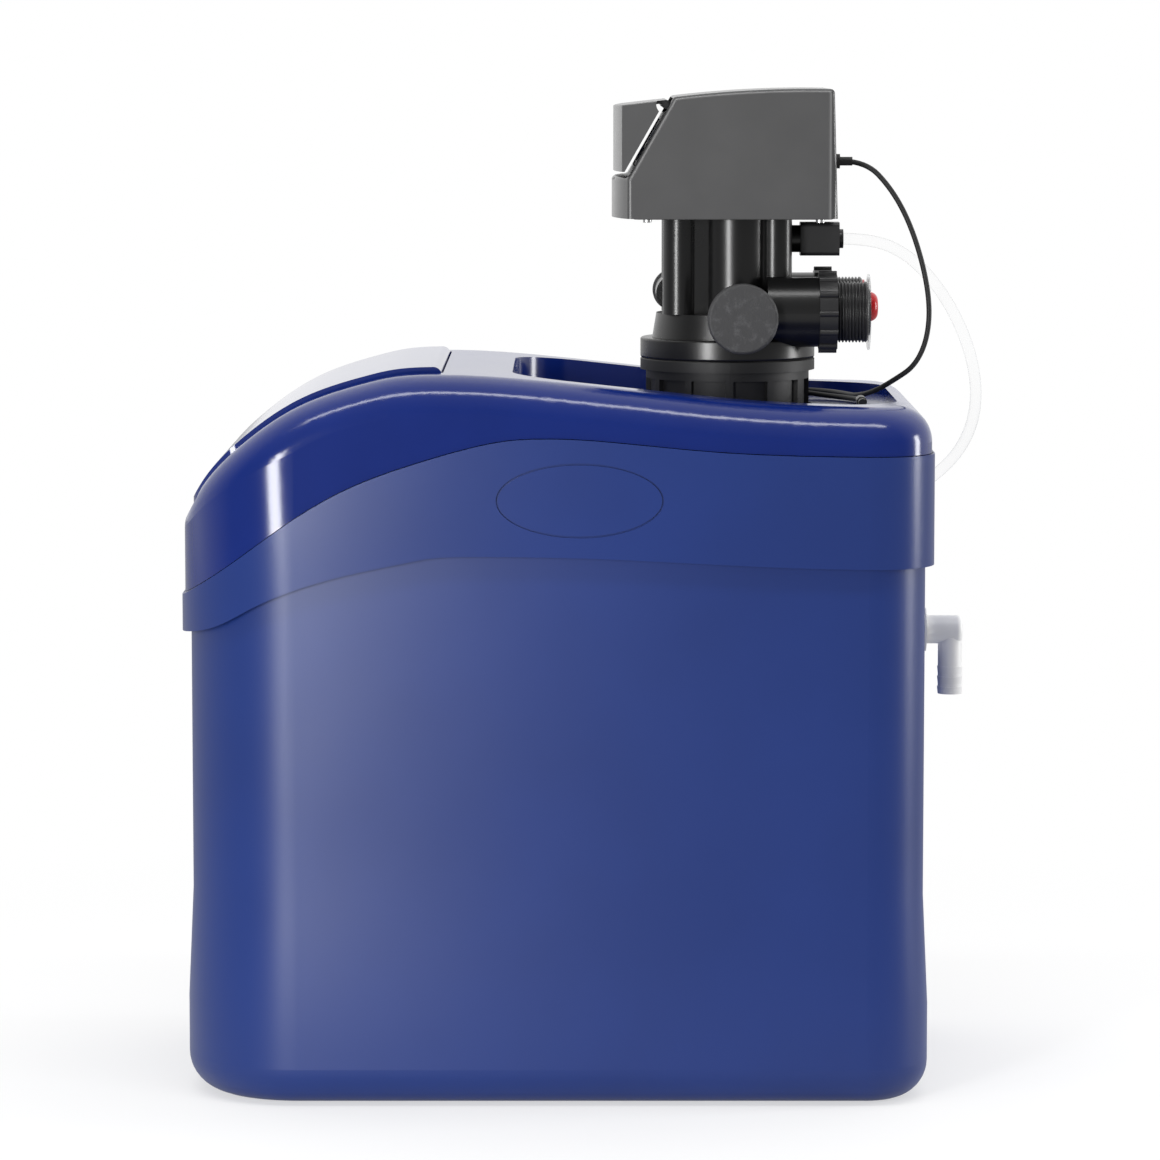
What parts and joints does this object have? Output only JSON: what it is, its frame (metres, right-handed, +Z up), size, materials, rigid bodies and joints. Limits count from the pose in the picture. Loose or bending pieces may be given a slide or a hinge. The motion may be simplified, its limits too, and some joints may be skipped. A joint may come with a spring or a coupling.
{
  "type": "water softener",
  "caption": "Compact cabinet water softener: curved blue cabinet with hinged salt lid, resin vessel, motorised control valve with threaded ports, brine tube, overflow elbow and power lead.",
  "frame": {"origin": "on the floor under the middle of the cabinet's belt outline", "axes": "+Z up, front with the salt lid towards -Y, water ports towards +Y, +X to the left of someone facing the front"},
  "size_m": [0.33, 0.5518, 0.683],
  "materials": {
    "bottom_strainer": "black slotted strainer",
    "brine_connector": "black plastic",
    "brine_tube": "clear flexible tube",
    "brine_valve": "pale plastic",
    "brine_well": "white tube",
    "brine_well_cap": "white cap",
    "button_1": "grey rubber",
    "button_2": "grey rubber",
    "button_3": "grey rubber",
    "button_4": "grey rubber",
    "circuit_board": "green circuit board",
    "control_panel": "black panel",
    "display_screen": "blue display window",
    "drain_spout": "black plastic",
    "drive_gear": "white plastic gear",
    "drive_motor": "steel motor case",
    "dust_cover": "dark grey moulded plastic, semi-gloss",
    "float": "white foamed plastic",
    "float_rod": "pale plastic rod",
    "flow_turbine": "white plastic",
    "head_base": "dark grey plastic",
    "head_cover": "dark grey moulded plastic, semi-gloss",
    "head_screws": "plated screws",
    "idler_gear": "white plastic gear",
    "injector_cap": "grey-black plastic cap",
    "inlet_tail": "black glass-filled plastic",
    "inlet_union_ring": "black ribbed plastic ring",
    "inner_brine_tube": "clear flexible tube",
    "lead_coil": "black flexible sheath",
    "lead_connector": "black plastic low-voltage plug",
    "lead_drop": "black flexible sheath",
    "lead_gland": "black rubber",
    "lead_tail": "black flexible sheath",
    "lid_hinge_pins": "stainless pins",
    "motor_pinion": "white plastic pinion on its shaft",
    "neck_collar": "dark grey ribbed plastic",
    "outlet_tail": "black glass-filled plastic",
    "outlet_union_ring": "black ribbed plastic ring",
    "overflow_elbow": "light grey plastic",
    "overflow_gasket": "dark rubber",
    "overflow_nut": "light grey plastic",
    "piston": "pale slippery plastic",
    "piston_rod": "threaded stainless rod",
    "piston_seals": "black rubber",
    "port_plug": "red plastic transport plug",
    "port_washer": "clear soft plastic washer",
    "refill_cap": "grey-black plastic cap",
    "resin_bed": "amber ion exchange resin beads",
    "resin_vessel": "glass-fibre wound vessel, grey",
    "riser_tube": "pale grey tube",
    "salt_grid": "pale plastic grid",
    "salt_lid": "moulded polyethylene, glossy royal blue",
    "seal_spacers": "pale plastic",
    "stack_retainer": "black plastic",
    "tank": "blow-moulded polyethylene, glossy royal blue",
    "top_cover": "moulded polyethylene, glossy royal blue",
    "top_strainer": "black slotted strainer",
    "tube_grommet": "black rubber",
    "turbine_spider": "black plastic",
    "valve_body": "black glass-filled plastic, glossy"
  },
  "bodies": {
    "cabinet": {"bottom_strainer": "bottom_strainer", "brine_connector": "brine_connector", "brine_tube": "brine_tube", "brine_valve": "brine_valve", "brine_well": "brine_well", "brine_well_cap": "brine_well_cap", "circuit_board": "circuit_board", "control_panel": "control_panel", "display_screen": "display_screen", "drain_spout": "drain_spout", "drive_motor": "drive_motor", "head_base": "head_base", "head_cover": "head_cover", "head_screws": "head_screws", "injector_cap": "injector_cap", "inlet_tail": "inlet_tail", "inlet_union_ring": "inlet_union_ring", "inner_brine_tube": "inner_brine_tube", "lead_coil": "lead_coil", "lead_connector": "lead_connector", "lead_drop": "lead_drop", "lead_gland": "lead_gland", "lead_tail": "lead_tail", "lid_hinge_pins": "lid_hinge_pins", "neck_collar": "neck_collar", "outlet_tail": "outlet_tail", "outlet_union_ring": "outlet_union_ring", "overflow_gasket": "overflow_gasket", "overflow_nut": "overflow_nut", "piston_seals": "piston_seals", "port_plug": "port_plug", "port_washer": "port_washer", "refill_cap": "refill_cap", "resin_bed": "resin_bed", "resin_vessel": "resin_vessel", "riser_tube": "riser_tube", "salt_grid": "salt_grid", "seal_spacers": "seal_spacers", "stack_retainer": "stack_retainer", "tank": "tank", "top_cover": "top_cover", "top_strainer": "top_strainer", "tube_grommet": "tube_grommet", "turbine_spider": "turbine_spider", "valve_body": "valve_body"},
    "lid": {"salt_lid": "salt_lid"},
    "dust_door": {"dust_cover": "dust_cover"},
    "key_1": {"button_1": "button_1"},
    "key_2": {"button_2": "button_2"},
    "key_3": {"button_3": "button_3"},
    "key_4": {"button_4": "button_4"},
    "drive_wheel": {"drive_gear": "drive_gear"},
    "idler_wheel": {"idler_gear": "idler_gear"},
    "pinion_shaft": {"motor_pinion": "motor_pinion"},
    "piston_set": {"piston": "piston", "piston_rod": "piston_rod"},
    "turbine_wheel": {"flow_turbine": "flow_turbine"},
    "float_set": {"float": "float", "float_rod": "float_rod"},
    "overflow": {"overflow_elbow": "overflow_elbow"}
  },
  "joints": [
    {"name": "lid_hinge", "type": "hinge", "parent": "cabinet", "child": "lid", "pos_m": [0, -0.0828, 0.4913], "axis": [-1, 0, 0], "range_deg": [0, 95]},
    {"name": "dust_door_hinge", "type": "hinge", "parent": "cabinet", "child": "dust_door", "pos_m": [0, 0.0746, 0.6724], "axis": [-1, 0, 0], "range_deg": [0, 110]},
    {"name": "key_1_press", "type": "slide", "parent": "cabinet", "child": "key_1", "axis": [0, 0.8687, -0.4953], "range_m": [0, 0.001], "stiffness_N_per_m": 300},
    {"name": "key_2_press", "type": "slide", "parent": "cabinet", "child": "key_2", "axis": [0, 0.8687, -0.4953], "range_m": [0, 0.001], "stiffness_N_per_m": 300},
    {"name": "key_3_press", "type": "slide", "parent": "cabinet", "child": "key_3", "axis": [0, 0.8687, -0.4953], "range_m": [0, 0.001], "stiffness_N_per_m": 300},
    {"name": "key_4_press", "type": "slide", "parent": "cabinet", "child": "key_4", "axis": [0, 0.8687, -0.4953], "range_m": [0, 0.001], "stiffness_N_per_m": 300},
    {"name": "drive_turn", "type": "hinge", "parent": "cabinet", "child": "drive_wheel", "pos_m": [0, 0.1185, 0.611], "axis": [0, 0, 1], "range_deg": [0, 900]},
    {"name": "idler_turn", "type": "hinge", "parent": "cabinet", "child": "idler_wheel", "pos_m": [0.02753, 0.15782, 0.611], "axis": [0, 0, 1], "range_deg": [-1500, 0]},
    {"name": "pinion_turn", "type": "hinge", "parent": "cabinet", "child": "pinion_shaft", "pos_m": [0.00435, 0.16403, 0.611], "axis": [0, 0, 1], "range_deg": [0, 4500]},
    {"name": "piston_slide", "type": "slide", "parent": "cabinet", "child": "piston_set", "axis": [0, 0, 1], "range_m": [0, 0.025]},
    {"name": "turbine_spin", "type": "hinge", "parent": "cabinet", "child": "turbine_wheel", "pos_m": [0.036, 0.2075, 0.53], "axis": [0, 1, 0], "continuous": true},
    {"name": "float_rise", "type": "slide", "parent": "cabinet", "child": "float_set", "axis": [0, 0, 1], "range_m": [0, 0.02]},
    {"name": "overflow_swivel", "type": "hinge", "parent": "cabinet", "child": "overflow", "pos_m": [0.06, 0.251, 0.313], "axis": [0, 1, 0], "range_deg": [-90, 90]}
  ],
  "couplings": [
    {"joint": "drive_turn", "follows": "piston_slide", "rad_per_m": 628.32},
    {"joint": "idler_turn", "follows": "piston_slide", "rad_per_m": -1047.2},
    {"joint": "pinion_turn", "follows": "piston_slide", "rad_per_m": 3141.6}
  ]
}
